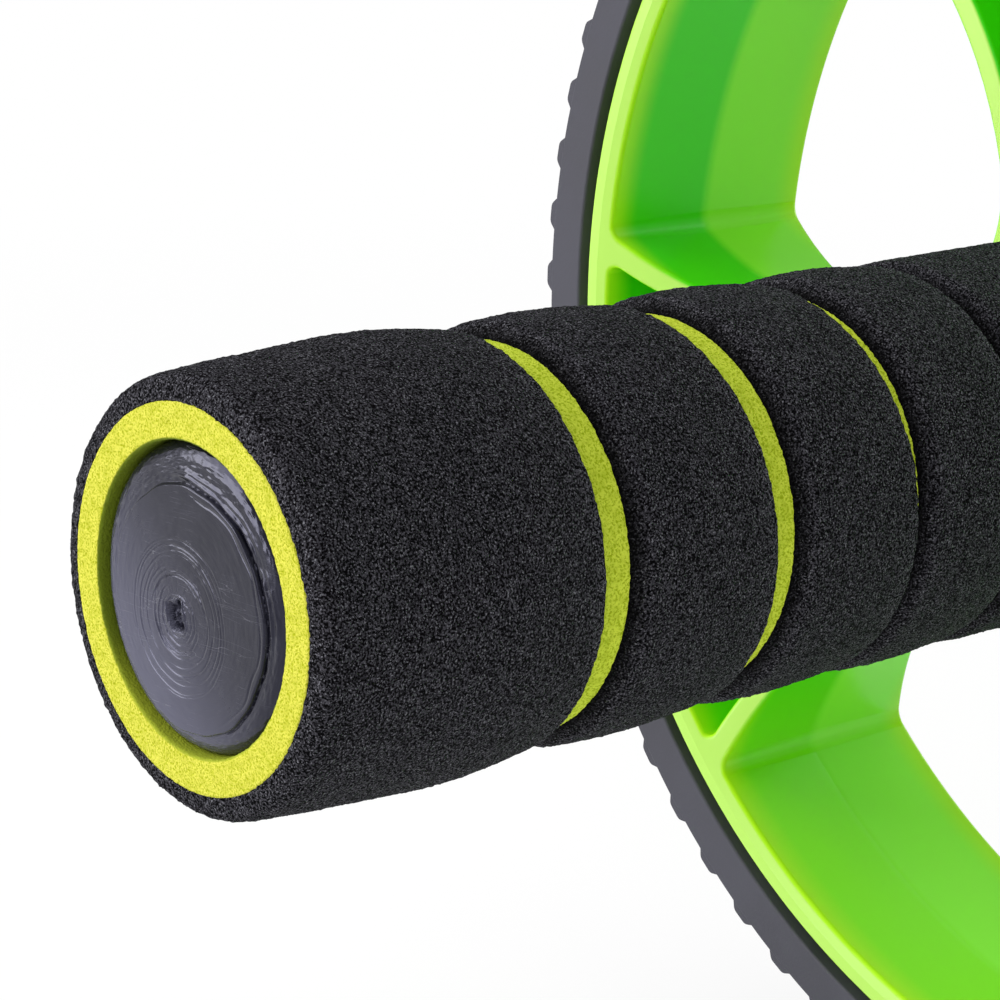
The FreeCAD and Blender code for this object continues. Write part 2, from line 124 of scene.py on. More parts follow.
class Wiring:
    """Adds nodes to one node tree and joins their sockets."""

    MIX_SHARE = 0
    MIX_FIRST = 6
    MIX_SECOND = 7
    MIX_COLOUR = 2

    def __init__(self, tree: Group) -> None:
        """Take the tree that the nodes go into."""
        self.tree = tree

    def add(self, kind: str, inputs: dict[str | int, Any] | None = None, **settings: Any) -> Node:
        """Add one node.

        Args:
            kind: Blender's name of the node type.
            inputs: A value to set or an output socket to join, by input name or number.
            settings: Properties of the node itself.

        Returns:
            The new node.
        """
        node = self.tree.nodes.new(kind)
        for name, value in settings.items():
            setattr(node, name, value)
        for name, value in (inputs or {}).items():
            if isinstance(value, Socket):
                self.tree.links.new(value, node.inputs[name])
            else:
                node.inputs[name].default_value = value
        return node

    def feed(self, target: Node, sockets: dict[str, Socket]) -> None:
        """Join sockets to a node's inputs by name."""
        for name, socket in sockets.items():
            self.tree.links.new(socket, target.inputs[name])

    def math(self, operation: str, first: Any, second: Any = 0.0, clamp: bool = False) -> Socket:
        """Combine two values by one of Blender's operations, held from 0 to 1 if clamped."""
        node = self.add("ShaderNodeMath", {0: first, 1: second}, operation=operation, use_clamp=clamp)
        return node.outputs[0]

    def times(self, first: Any, second: Any) -> Socket:
        """Multiply two values."""
        return self.math("MULTIPLY", first, second)

    def spread(self, value: Socket, low: Any, high: Any, to_low: float = 0.0, to_high: float = 1.0) -> Socket:
        """Stretch the values from low to high smoothly over another range."""
        inputs = {"Value": value, "From Min": low, "From Max": high, "To Min": to_low, "To Max": to_high}
        return self.add("ShaderNodeMapRange", inputs, interpolation_type="SMOOTHSTEP").outputs["Result"]

    def blend(self, share: Socket, first: Any, second: Any) -> Socket:
        """Blend two colours by a mask.

        Args:
            share: Mask that runs from the first colour to the second.
            first: Colour or socket at 0.
            second: Colour or socket at 1.

        Returns:
            The socket with the blended colour.
        """
        start, end = (tone if isinstance(tone, Socket) else (*tone, 1.0) for tone in (first, second))
        inputs = {self.MIX_SHARE: share, self.MIX_FIRST: start, self.MIX_SECOND: end}
        return self.add("ShaderNodeMix", inputs, data_type="RGBA").outputs[self.MIX_COLOUR]

    def place(self) -> Socket:
        """Give the socket with each point's place on the part, in metres."""
        return self.add("ShaderNodeTexCoord").outputs["Object"]

    def axes(self, vector: Socket) -> dict[str, Socket]:
        """Give the X, Y and Z sockets of a vector."""
        return dict(self.add("ShaderNodeSeparateXYZ", {"Vector": vector}).outputs.items())

    def noise(self, where: Socket, scale: Any, detail: float, rough: float) -> Socket:
        """Add a soft cloud pattern from 0 to 1, with its scale in cells per metre."""
        inputs = {"Vector": where, "Scale": scale, "Detail": detail, "Roughness": rough}
        return self.add("ShaderNodeTexNoise", inputs).outputs["Fac"]


class Surface(Wiring):
    """The wiring of one material, round its shader."""

    def __init__(self, material: bpy.types.Material) -> None:
        """Take the material and its shader."""
        super().__init__(material.node_tree)
        self.shader = material.node_tree.nodes["Principled BSDF"]

    def effect(self, tree: Group, **values: float) -> dict[str, Socket]:
        """Place a shared effect with its own input values, and give its outputs."""
        return dict(self.add("ShaderNodeGroup", values, node_tree=tree).outputs.items())

    def paint(self, colour: Socket, rough: Socket) -> None:
        """Join a colour and a roughness to the shader."""
        self.feed(self.shader, {"Base Color": colour, "Roughness": rough})

    def fix(self, name: str, value: Any) -> None:
        """Set a shader value that is the same all over."""
        self.shader.inputs[name].default_value = value

    def relief(self, height: Socket, depth: float, strength: float = 1.0) -> None:
        """Raise a pattern from the surface by its real depth in metres."""
        bump = self.add("ShaderNodeBump", {"Strength": strength, "Distance": depth, "Height": height})
        self.feed(self.shader, {"Normal": bump.outputs["Normal"]})


class Effect:
    """Surface effects that several finishes share, each built once as a shader node group."""

    CLUMP_CELLS = 0.22
    CLUMP_SPAN = (0.25, 0.6)
    CLUMP_TONES = (0.55, 1.0)
    FIBRE_CELLS = 1.45
    FIBRE_SPAN = (0.62, 0.70)
    RAISED_SPAN = (0.45, 0.6)
    HAIR_TURN = (0.3, 0.5, 0.7)
    HAIR_STRETCH = (1.0, 9.0, 16.0)
    HAIR_CELLS = 110.0
    HAIR_MIDDLE = 0.5
    HAIR_WIDTH = 0.006
    PATCH_SPAN = (0.45, 0.6)

    @staticmethod
    def start(
        name: str, takes: dict[str, float], gives: Sequence[str]
    ) -> tuple[Wiring, dict[str, Socket], Node]:
        """Open a new group with named inputs and outputs.

        Args:
            name: Name of the group.
            takes: Input names with their usual values.
            gives: Output names.

        Returns:
            The wiring of the group, its input sockets and its output node.
        """
        tree = bpy.data.node_groups.new(name, "ShaderNodeTree")
        for label, usual in takes.items():
            socket = tree.interface.new_socket(name=label, in_out="INPUT", socket_type="NodeSocketFloat")
            socket.default_value = usual
        for label in gives:
            tree.interface.new_socket(name=label, in_out="OUTPUT", socket_type="NodeSocketFloat")
        source = tree.nodes.new("NodeGroupInput")
        target = tree.nodes.new("NodeGroupOutput")
        return Wiring(tree), {label: source.outputs[label] for label in takes}, target

    @staticmethod
    @cache
    def foam_cells() -> Group:
        """Make cut faces of fine foam: hair-fine pores, uneven tone and pale fibre ends.

        Returns:
            The node group.
        """
        takes = {"Cells": 6000.0, "Clumping": 0.4, "Pore": 0.4, "Face": 0.66}
        wire, given, out = Effect.start("foam_cells", takes, ("Height", "Tone", "Fibre"))
        where = wire.place()
        fine = wire.noise(where, given["Cells"], detail=1.5, rough=0.6)
        clump_cells = wire.times(given["Cells"], Effect.CLUMP_CELLS)
        clump = wire.noise(where, clump_cells, detail=2.0, rough=0.6)
        fibre_cells = wire.times(given["Cells"], Effect.FIBRE_CELLS)
        ends = wire.noise(where, fibre_cells, detail=0.0, rough=0.5)
        height = wire.math("ADD", fine, wire.times(clump, given["Clumping"]))
        open_tone = wire.spread(fine, given["Pore"], given["Face"])
        tone = wire.times(open_tone, wire.spread(clump, *Effect.CLUMP_SPAN, *Effect.CLUMP_TONES))
        raised = wire.spread(fine, *Effect.RAISED_SPAN)
        fibre = wire.times(wire.spread(ends, *Effect.FIBRE_SPAN), raised)
        wire.feed(out, {"Height": height, "Tone": tone, "Fibre": fibre})
        return wire.tree

    @staticmethod
    @cache
    def moulded_skin() -> Group:
        """Make moulded surfaces: fine peel, slow clouding and hairline scratches.

        Returns:
            The node group.
        """
        takes = {"Peel": 1800.0, "Clouds": 60.0}
        wire, given, out = Effect.start("moulded_skin", takes, ("Height", "Clouding", "Scratches"))
        where = wire.place()
        peel = wire.noise(where, given["Peel"], detail=2.0, rough=0.5)
        clouds = wire.noise(where, given["Clouds"], detail=4.0, rough=0.6)
        bent = {"Vector": where, "Rotation": Effect.HAIR_TURN, "Scale": Effect.HAIR_STRETCH}
        drawn_out = wire.add("ShaderNodeMapping", bent).outputs["Vector"]
        hair = wire.noise(drawn_out, Effect.HAIR_CELLS, detail=1.0, rough=0.4)
        line = wire.math("ABSOLUTE", wire.math("SUBTRACT", hair, Effect.HAIR_MIDDLE))
        scratch = wire.spread(line, Effect.HAIR_WIDTH, 0.0)
        patchy = wire.times(scratch, wire.spread(clouds, *Effect.PATCH_SPAN))
        wire.feed(out, {"Height": peel, "Clouding": clouds, "Scratches": patchy})
        return wire.tree


# Finishes


class Finish:
    """A finish that makes its material once. Its lengths are in metres."""

    label: str = "finish"

    @cache
    def material(self) -> bpy.types.Material:
        """Make the material, once for all pieces with this finish.

        Returns:
            The material of this finish.
        """
        material = bpy.data.materials.new(self.label)
        material.use_nodes = True
        self.wire_up(Surface(material))
        return material

    def wire_up(self, wire: Surface) -> None:
        """Join this finish's nodes to the material's shader."""
        raise NotImplementedError


@dataclass(frozen=True)
class BlackFoam(Finish):
    """Ground black foam with hair-fine pores and pale fibre ends, painted shade where a band starts in a
    groove and a painted highlight at each lip.
    """

    label: str = "black_foam"
    deep: Colour = (0.0009, 0.0009, 0.0012)
    face: Colour = (0.058, 0.056, 0.067)
    fibre: Colour = (0.17, 0.17, 0.19)
    cells: float = 5200.0
    clumping: float = 0.5
    pore_depth: float = 0.00012
    roughness: Range = (1.0, 0.8)
    specular: float = 0.06

    def wire_up(self, wire: Surface) -> None:
        """Join the foam's pores, its painted groove shade and lip highlight and its pale fibre ends to the
        shader.

        Args:
            wire: The material's wiring.
        """
        foam = wire.effect(Effect.foam_cells(), Cells=self.cells, Clumping=self.clumping)
        # painted light and shade: darker where a band rises from a groove, lighter towards a lip
        shade = wire.add("ShaderNodeAttribute", attribute_name=PAINTED_SHADE_AND_HIGHLIGHT).outputs["Fac"]
        tone = wire.math("MULTIPLY", foam["Tone"], shade, clamp=True)
        fibre = wire.math("MULTIPLY", foam["Fibre"], shade, clamp=True)
        colour = wire.blend(fibre, wire.blend(tone, self.deep, self.face), self.fibre)
        wire.paint(colour, wire.spread(foam["Tone"], 0.0, 1.0, *self.roughness))
        wire.fix("Specular IOR Level", self.specular)
        wire.relief(foam["Height"], self.pore_depth)


@dataclass(frozen=True)
class LimeFoam(Finish):
    """Lime foam: pale on its cut end, with painted green bounce light in the grooves and painted shade in the
    bore, lighter towards the bore's foot.
    """

    label: str = "lime_foam"
    cut_face: Colour = (0.64, 0.62, 0.073)
    cut_pore: Colour = (0.35, 0.385, 0.003)
    # painted bounce light: a greener tone in the grooves stands for light bounced between lime walls
    groove_painted_bounce_face: Colour = (0.63, 0.75, 0.058)
    groove_painted_bounce_pore: Colour = (0.34, 0.45, 0.007)
    # painted shade on the bore wall, with painted light making it lighter towards its foot
    bore_painted_shade: Colour = (0.14, 0.19, 0.010)
    bore_painted_lit_foot: Colour = (0.34, 0.40, 0.024)
    groove_painted_bounce_span: Range = (0.0162, 0.0165)
    bore_painted_shade_span: Range = (0.01290, 0.01305)
    bore_lit_foot_span: Range = (-0.004, -0.011)
    cells: float = 4700.0
    clumping: float = 0.25
    pore: float = 0.34
    open_face: float = 0.55
    pore_depth: float = 0.00013
    roughness: Range = (0.9, 0.75)
    specular: float = 0.15

    def wire_up(self, wire: Surface) -> None:
        """Join the foam's pores, its tones, the painted bounce light in the grooves and the painted shade in
        the bore to the shader.

        Args:
            wire: The material's wiring.
        """
        values = {"Cells": self.cells, "Clumping": self.clumping, "Pore": self.pore, "Face": self.open_face}
        foam = wire.effect(Effect.foam_cells(), **values)
        axes = wire.axes(wire.place())
        squares = [wire.math("POWER", wire.math("ABSOLUTE", axes[way]), 2.0) for way in ("X", "Z")]
        radius = wire.math("SQRT", wire.math("ADD", *squares))
        cut = wire.blend(foam["Tone"], self.cut_pore, self.cut_face)
        # painted bounce light in the grooves, greener than the cut end
        groove = wire.blend(foam["Tone"], self.groove_painted_bounce_pore, self.groove_painted_bounce_face)
        colour = wire.blend(wire.spread(radius, *self.groove_painted_bounce_span), cut, groove)
        # painted shade on the bore wall, lighter towards its foot where light falls from above
        bore = wire.blend(wire.spread(axes["Z"], *self.bore_lit_foot_span), self.bore_painted_shade, self.bore_painted_lit_foot)
        colour = wire.blend(wire.spread(radius, *self.bore_painted_shade_span, 1.0, 0.0), colour, bore)
        wire.paint(colour, wire.spread(foam["Tone"], 0.0, 1.0, *self.roughness))
        wire.fix("Specular IOR Level", self.specular)
        wire.relief(foam["Height"], self.pore_depth)


@dataclass(frozen=True)
class GreenPlastic(Finish):
    """Vivid green plastic, moulded in two halves, with painted light and shade: a shaded near half, a lit far
    half, lighter towards the foot, a painted glow at its edges and a painted highlight on its front faces.
    """

    label: str = "green_plastic"
    # painted light and shade: near half shaded, far half lit, both lighter towards the foot
    near_top_painted_shade: Colour = (0.050, 0.63, 0.002)
    near_foot_painted_light: Colour = (0.25, 0.81, 0.004)
    far_top_painted_light: Colour = (0.27, 0.82, 0.034)
    far_foot_painted_light: Colour = (0.29, 0.86, 0.050)
    # painted glow: paler edges stand for light passing through thin plastic
    edge: Colour = (0.44, 0.84, 0.008)
    # painted highlight on faces that look along the axle, standing for frontal light and gloss
    front_painted_highlight: Colour = (0.42, 0.71, 0.115)
    painted_light_height_span: Range = (-0.032, -0.064)
    edge_painted_glow_span: Range = (0.0115, 0.0166)
    front_highlight_span: Range = (0.006, 0.009)
    highlight_facing_span: Range = (0.70, 0.985)
    painted_half_blend: float = 0.0012
    peel: float = 700.0
    clouds: float = 38.0
    peel_depth: float = 0.00001
    peel_share: float = 0.5
    roughness: Range = (0.19, 0.27)
    specular: float = 0.22

    def wire_up(self, wire: Surface) -> None:
        """Join the painted light and shade of the two halves, the painted edge glow and the painted front
        highlight to the shader.

        Args:
            wire: The material's wiring.
        """
        moulded = wire.effect(Effect.moulded_skin(), Peel=self.peel, Clouds=self.clouds)
        axes = wire.axes(wire.place())
        normal = wire.axes(wire.add("ShaderNodeNewGeometry").outputs["Normal"])
        across = wire.math("ABSOLUTE", axes["Y"])
        # painted highlight on front faces, by how squarely they face along the axle
        facing = wire.spread(wire.math("ABSOLUTE", normal["Y"]), *self.highlight_facing_span)
        front_painted_highlight = wire.times(facing, wire.spread(across, *self.front_highlight_span))
        # painted light: lighter towards the foot, where overhead light falls
        painted_light_drift = wire.spread(axes["Z"], *self.painted_light_height_span)
        near = wire.blend(painted_light_drift, self.near_top_painted_shade, self.near_foot_painted_light)
        far = wire.blend(painted_light_drift, self.far_top_painted_light, self.far_foot_painted_light)
        # painted light and shade split at the parting plane: near half darker, far half lighter
        body = wire.blend(wire.spread(axes["Y"], -self.painted_half_blend, self.painted_half_blend), near, far)
        # painted glow at the edges, where light passes through
        body = wire.blend(wire.spread(across, *self.edge_painted_glow_span), body, self.edge)
        rough = wire.spread(moulded["Clouding"], *CLOUD_SPAN, *self.roughness)
        wire.paint(wire.blend(front_painted_highlight, body, self.front_painted_highlight), rough)
        wire.fix("Specular IOR Level", self.specular)
        wire.relief(moulded["Height"], self.peel_depth, self.peel_share)


@dataclass(frozen=True)
class TreadRubber(Finish):
    """Charcoal soft rubber, dull, with a little dust."""

    label: str = "tread_rubber"
    body: Colour = (0.041, 0.040, 0.054)
    # worn tone of the rubber, laid by clouding
    wear_and_highlight: Colour = (0.054, 0.053, 0.070)
    dust: Colour = (0.22, 0.22, 0.23)
    worn_span: Range = (0.35, 0.7)
    motes: float = 420.0
    mote_size: float = 0.09
    bare_share: float = 0.82
    dust_share: float = 0.35
    peel: float = 2600.0
    clouds: float = 55.0
    peel_depth: float = 0.00003
    peel_share: float = 0.7
    roughness: Range = (0.55, 0.68)
    specular: float = 0.4

    def wire_up(self, wire: Surface) -> None:
        """Join clouding, dust and fine peel to the shader.

        Args:
            wire: The material's wiring.
        """
        moulded = wire.effect(Effect.moulded_skin(), Peel=self.peel, Clouds=self.clouds)
        motes = wire.add("ShaderNodeTexVoronoi", {"Vector": wire.place(), "Scale": self.motes}).outputs
        dot = wire.math("LESS_THAN", motes["Distance"], self.mote_size)
        lot = wire.add("ShaderNodeSeparateColor", {"Color": motes["Color"]}).outputs["Blue"]
        dust = wire.times(dot, wire.math("GREATER_THAN", lot, self.bare_share))
        body = wire.blend(wire.spread(moulded["Clouding"], *self.worn_span), self.body, self.wear_and_highlight)
        colour = wire.blend(wire.times(dust, self.dust_share), body, self.dust)
        wire.paint(colour, wire.spread(moulded["Clouding"], *CLOUD_SPAN, *self.roughness))
        wire.fix("Specular IOR Level", self.specular)
        wire.relief(moulded["Height"], self.peel_depth, self.peel_share)


@dataclass(frozen=True)
class HandlePlastic(Finish):
    """Black moulded plastic, semi-gloss, with a painted reflection lighter towards negative X and down, and
    scratches.
    """

    label: str = "handle_plastic"
    body: Colour = (0.003, 0.003, 0.006)
    cloud: Colour = (0.007, 0.007, 0.012)
    # painted reflection: lighter towards negative X and down
    painted_reflection: Colour = (0.080, 0.080, 0.118)
    painted_reflection_way: Range = (-0.75, -0.65)
    painted_reflection_span: Range = (-0.004, 0.014)
    scuffed: Colour = (0.16, 0.16, 0.18)
    scuff_share: float = 0.45
    scuff_rough: float = 0.2
    gloss: Colour = (0.72, 0.72, 0.98)
    peel: float = 1500.0
    clouds: float = 260.0
    peel_depth: float = 0.00002
    peel_share: float = 0.8
    roughness: Range = (0.15, 0.25)

    def wire_up(self, wire: Surface) -> None:
        """Join clouding, the painted reflection, scratches and fine peel to the shader.

        Args:
            wire: The material's wiring.
        """
        moulded = wire.effect(Effect.moulded_skin(), Peel=self.peel, Clouds=self.clouds)
        axes = wire.axes(wire.place())
        # painted reflection, lighter towards negative X and down
        lower = wire.math("ADD", *map(wire.times, (axes["X"], axes["Z"]), self.painted_reflection_way))
        body = wire.blend(wire.spread(moulded["Clouding"], *CLOUD_SPAN), self.body, self.cloud)
        body = wire.blend(wire.spread(lower, *self.painted_reflection_span), body, self.painted_reflection)
        colour = wire.blend(wire.times(moulded["Scratches"], self.scuff_share), body, self.scuffed)
        rough = wire.spread(moulded["Clouding"], *CLOUD_SPAN, *self.roughness)
        wire.paint(colour, wire.math("ADD", rough, wire.times(moulded["Scratches"], self.scuff_rough)))
        wire.fix("Specular Tint", (*self.gloss, 1.0))
        wire.relief(moulded["Height"], self.peel_depth, self.peel_share)


@dataclass(frozen=True)
class BushPlastic(Finish):
    """Dark satin nylon of the hub bushes."""

    label: str = "bush_plastic"
    body: Colour = (0.055, 0.055, 0.060)
    cloud: Colour = (0.085, 0.085, 0.092)
    peel: float = 1400.0
    clouds: float = 150.0
    peel_depth: float = 0.00002
    peel_share: float = 0.7
    roughness: Range = (0.38, 0.5)

    def wire_up(self, wire: Surface) -> None:
        """Join clouding and fine peel to the shader.

        Args:
            wire: The material's wiring.
        """
        moulded = wire.effect(Effect.moulded_skin(), Peel=self.peel, Clouds=self.clouds)
        colour = wire.blend(moulded["Clouding"], self.body, self.cloud)
        wire.paint(colour, wire.spread(moulded["Clouding"], *CLOUD_SPAN, *self.roughness))
        wire.relief(moulded["Height"], self.peel_depth, self.peel_share)


@dataclass(frozen=True)
class AxleSteel(Finish):
    """Bright drawn steel with fine lines along the rod."""

    label: str = "axle_steel"
    bright: Colour = (0.64, 0.65, 0.67)
    dull: Colour = (0.46, 0.46, 0.48)
    stretch: Place = (1.0, 0.02, 1.0)
    lines: float = 2600.0
    line_depth: float = 0.00001
    line_share: float = 0.6
    roughness: Range = (0.42, 0.26)

    def wire_up(self, wire: Surface) -> None:
        """Join the drawing lines to the shader.

        Args:
            wire: The material's wiring.
        """
        drawn = wire.add("ShaderNodeMapping", {"Vector": wire.place(), "Scale": self.stretch})
        lines = wire.noise(drawn.outputs["Vector"], self.lines, detail=3.0, rough=0.7)
        colour = wire.blend(wire.spread(lines, *CLOUD_SPAN), self.dull, self.bright)
        wire.paint(colour, wire.spread(lines, *CLOUD_SPAN, *self.roughness))
        wire.fix("Metallic", 1.0)
        wire.relief(lines, self.line_depth, self.line_share)


@dataclass(frozen=True)
class StudioPaper(Finish):
    """White paper sweep that stays white in the camera and keeps the shadow."""

    label: str = "studio_paper"
    white: Colour = (0.96, 0.96, 0.96)
    fleck: Colour = (0.98, 0.98, 0.98)
    grain: float = 900.0
    roughness: float = 0.9
    lift_span: Range = (0.25, 0.90)
    lift: Range = (0.80, 1.0)

    def wire_up(self, wire: Surface) -> None:
        """Lift the paper to white where it is seen, and not where it lights.

        Args:
            wire: The material's wiring.
        """
        where = wire.place()
        grain = wire.noise(where, self.grain, detail=2.0, rough=0.5)
        wire.feed(wire.shader, {"Base Color": wire.blend(grain, self.white, self.fleck)})
        wire.fix("Roughness", self.roughness)
        wire.fix("Specular IOR Level", 0.0)
        glow = wire.add("ShaderNodeEmission", {"Color": WHITE, "Strength": 1.0})
        path = wire.add("ShaderNodeLightPath").outputs
        seen = wire.math("MAXIMUM", path["Is Camera Ray"], path["Is Glossy Ray"])
        seen = wire.math("MAXIMUM", seen, path["Is Transmission Ray"])
        away = wire.add("ShaderNodeVectorMath", {0: where}, operation="LENGTH").outputs["Value"]
        share = wire.times(seen, wire.spread(away, *self.lift_span, *self.lift))
        both = {0: share, 1: wire.shader.outputs[0], 2: glow.outputs[0]}
        mixed = wire.add("ShaderNodeMixShader", both)
        wire.feed(wire.tree.nodes["Material Output"], {"Surface": mixed.outputs[0]})


# Mesh making


class Corner(NamedTuple):
    """One corner of a turned outline: depth from the grip's end, radius, rounding, all in mm."""

    depth: float
    radius: float
    rounding: float = 0.0


class Wave(NamedTuple):
    """One wave round a circle: its height, how often it repeats, and its start in radians."""

    height: float
    count: int
    start: float = 0.0


def ripple(angle: Grid, waves: Sequence[Wave], level: float | Grid = 0.0) -> Grid:
    """Add waves round a circle to a level.

    Args:
        angle: Direction of each point, in radians.
        waves: The waves to add.
        level: What they are added to.

    Returns:
        The sum at each point.
    """
    for wave in waves:
        level = level + wave.height * np.sin(wave.count * angle + wave.start)
    return level


def ridge(distance: Grid, width: float, power: int = 2) -> Grid:
    """Give a smooth ridge of height 1 that falls away with distance."""
    return np.exp(-((distance / width) ** power))


class Fold(NamedTuple):
    """One fold along a moulded edge: distance past the edge, width and height, in mm."""

    past: float
    width: float
    height: float
    waves: tuple[Wave, ...] = ()

    def lift(self, past: Grid, turn: Grid) -> Grid:
        """Give the fold's height by distance past the edge and direction."""
        return self.height * ridge(past - self.past - ripple(turn, self.waves), self.width)


def round_angles(columns: int) -> Grid:
    """Divide a full turn evenly, in radians."""
    return np.linspace(0.0, 2 * math.pi, columns, endpoint=False)


def rounded_line(corners: Sequence[Corner], step: float) -> Grid:
    """Draw a line through corners, round them and divide it evenly.

    Args:
        corners: The line's corners in order.
        step: Greatest distance between points, in mm.

    Returns:
        Points as rows of depth and radius, in mm.
    """
    raw = np.array([(corner.depth, corner.radius) for corner in corners], float)
    line = [raw[0]]
    for before, at, after, corner in zip(raw, raw[1:], raw[2:], corners[1:]):
        if corner.rounding <= 0.0:
            line.append(at)
            continue
        back, ahead = before - at, after - at
        reach_back, reach_ahead = np.linalg.norm(back), np.linalg.norm(ahead)
        between = math.acos(np.clip(back @ ahead / (reach_back * reach_ahead), -1.0, 1.0))
        half_turn = (math.pi - between) / 2
        cut = min(corner.rounding * math.tan(half_turn), MOST_CUT * reach_back, MOST_CUT * reach_ahead)
        first, last = at + back / reach_back * cut, at + ahead / reach_ahead * cut
        for share in np.linspace(0.0, 1.0, ARC_POINTS):
            line.append((1 - share) ** 2 * first + 2 * share * (1 - share) * at + share**2 * last)
    line.append(raw[-1])
    points = np.array(line)
    run = np.concatenate([[0.0], np.cumsum(np.linalg.norm(np.diff(points, axis=0), axis=1))])
    count = max(2, math.ceil(run[-1] / step) + 1)
    even = np.linspace(0.0, run[-1], count)
    return np.stack([np.interp(even, run, points[:, axis]) for axis in (0, 1)], 1)


def line_normals(line: Grid) -> Grid:
    """Find the directions at right angles to an open line.

    Args:
        line: Points as rows of depth and radius.

    Returns:
        Unit directions, on the side of greater radius for a line drawn with growing depth.
    """
    along = np.gradient(line, axis=0)
    across = np.stack([-along[:, 1], along[:, 0]], 1)
    return across / np.maximum(np.linalg.norm(across, axis=1, keepdims=True), 1e-9)


def softened(values: Grid, rounds: int) -> Grid:
    """Blur a grid of values that closes round its columns.

    Args:
        values: Values by row and column.
        rounds: Number of blurring passes.

    Returns:
        The blurred grid, scaled back to unit spread.
    """
    for _ in range(rounds):
        values = 0.5 * values + 0.25 * (np.roll(values, 1, 1) + np.roll(values, -1, 1))
        edged = np.pad(values, ((1, 1), (0, 0)), mode="edge")
        values = 0.5 * values + 0.25 * (edged[:-2] + edged[2:])
    return values / max(float(values.std()), 1e-9)


def grid_map(points: Grid, closed: bool) -> Grid:
    """Lay a grid of points out flat as a texture map.

    Args:
        points: Places by row and column, in metres.
        closed: Whether the last row joins the first.

    Returns:
        Map places of the four corners of each face.
    """
    columns = points.shape[1]
    steps = np.linalg.norm(np.diff(points, axis=0), axis=2).mean(1)
    run = np.concatenate([[0.0], np.cumsum(steps)])
    if closed:
        run = np.append(run, run[-1] + np.linalg.norm(points[0] - points[-1], axis=1).mean())
    run = run / run[-1]
    left = np.arange(columns) / columns
    right = left + 1.0 / columns
    u = np.stack([left, right, right, left], -1)[None].repeat(len(run) - 1, 0)
    v = np.stack([run[:-1], run[:-1], run[1:], run[1:]], -1)[:, None].repeat(columns, 1)
    return np.stack([u, v], -1).reshape(-1, 4, 2)


def skin(name: str, points: Grid, closed: bool) -> Piece:
    """Cover a grid of points with faces. The columns run round the axle.

    Args:
        name: Name of the new object.
        points: Places by row and column, in metres.
        closed: Join the last row to the first, or else gather each of the two into one point.

    Returns:
        The new object, with a flat map of the grid.
    """
    rows, columns = points.shape[:2]
    index = np.arange(rows * columns).reshape(rows, columns)
    low, high = (index, np.roll(index, -1, 0)) if closed else (index[:-1], index[1:])
    quads = np.stack([low, np.roll(low, -1, 1), np.roll(high, -1, 1), high], -1).reshape(-1, 4)
    uv = grid_map(points, closed)
    flat = points.reshape(-1, 3)
    a, b, c, d = (flat[quads[:, corner]] for corner in range(4))
    volume = np.einsum("ij,ij->", a, np.cross(b, c)) + np.einsum("ij,ij->", a, np.cross(c, d))
    if volume < 0.0:
        quads, uv = quads[:, ::-1], uv[:, ::-1]
    if not closed:
        last = index[-1, 0]
        flat = np.concatenate([flat[:1], flat[columns : last + 1]])
        quads = np.clip(quads - columns + 1, 0, last - columns + 1)
    own = quads != np.roll(quads, 1, 1)
    faces = [[k for k, keep in zip(*pair) if keep] for pair in zip(quads.tolist(), own.tolist())]
    mesh = bpy.data.meshes.new(name)
    mesh.from_pydata(flat.tolist(), [], faces)
    layer = mesh.uv_layers.new(name=BAKE_MAP)
    layer.uv.foreach_set("vector", uv[own].astype(np.float32).ravel())
    mesh.shade_smooth()
    mesh.update()
    piece = bpy.data.objects.new(name, mesh)
    bpy.context.scene.collection.objects.link(piece)
    return piece


def dress(piece: Piece, finish: Finish) -> None:
    """Give a piece one finish all over."""
    piece.data.materials.clear()
    piece.data.materials.append(finish.material())


def smooth_faces(piece: Piece, sharp_from: float) -> None:
    """Shade curved faces smoothly, apart from edges bent by more than an angle in degrees."""
    piece.data.shade_smooth()
    piece.data.set_sharp_from_angle(angle=math.radians(sharp_from))


def stand_in(piece: Piece, node: str, finish: Finish) -> None:
    """Dress a new piece and set it on the handlebar in place of its solid.

    Args:
        piece: The new piece.
        node: The solid that it stands for.
        finish: The piece's finish.
    """
    dress(piece, finish)
    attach(piece, BodyName.HANDLEBAR.value)
    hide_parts(node)
    LOG.info("%s: %d faces", piece.name, len(piece.data.polygons))


# Foam grips


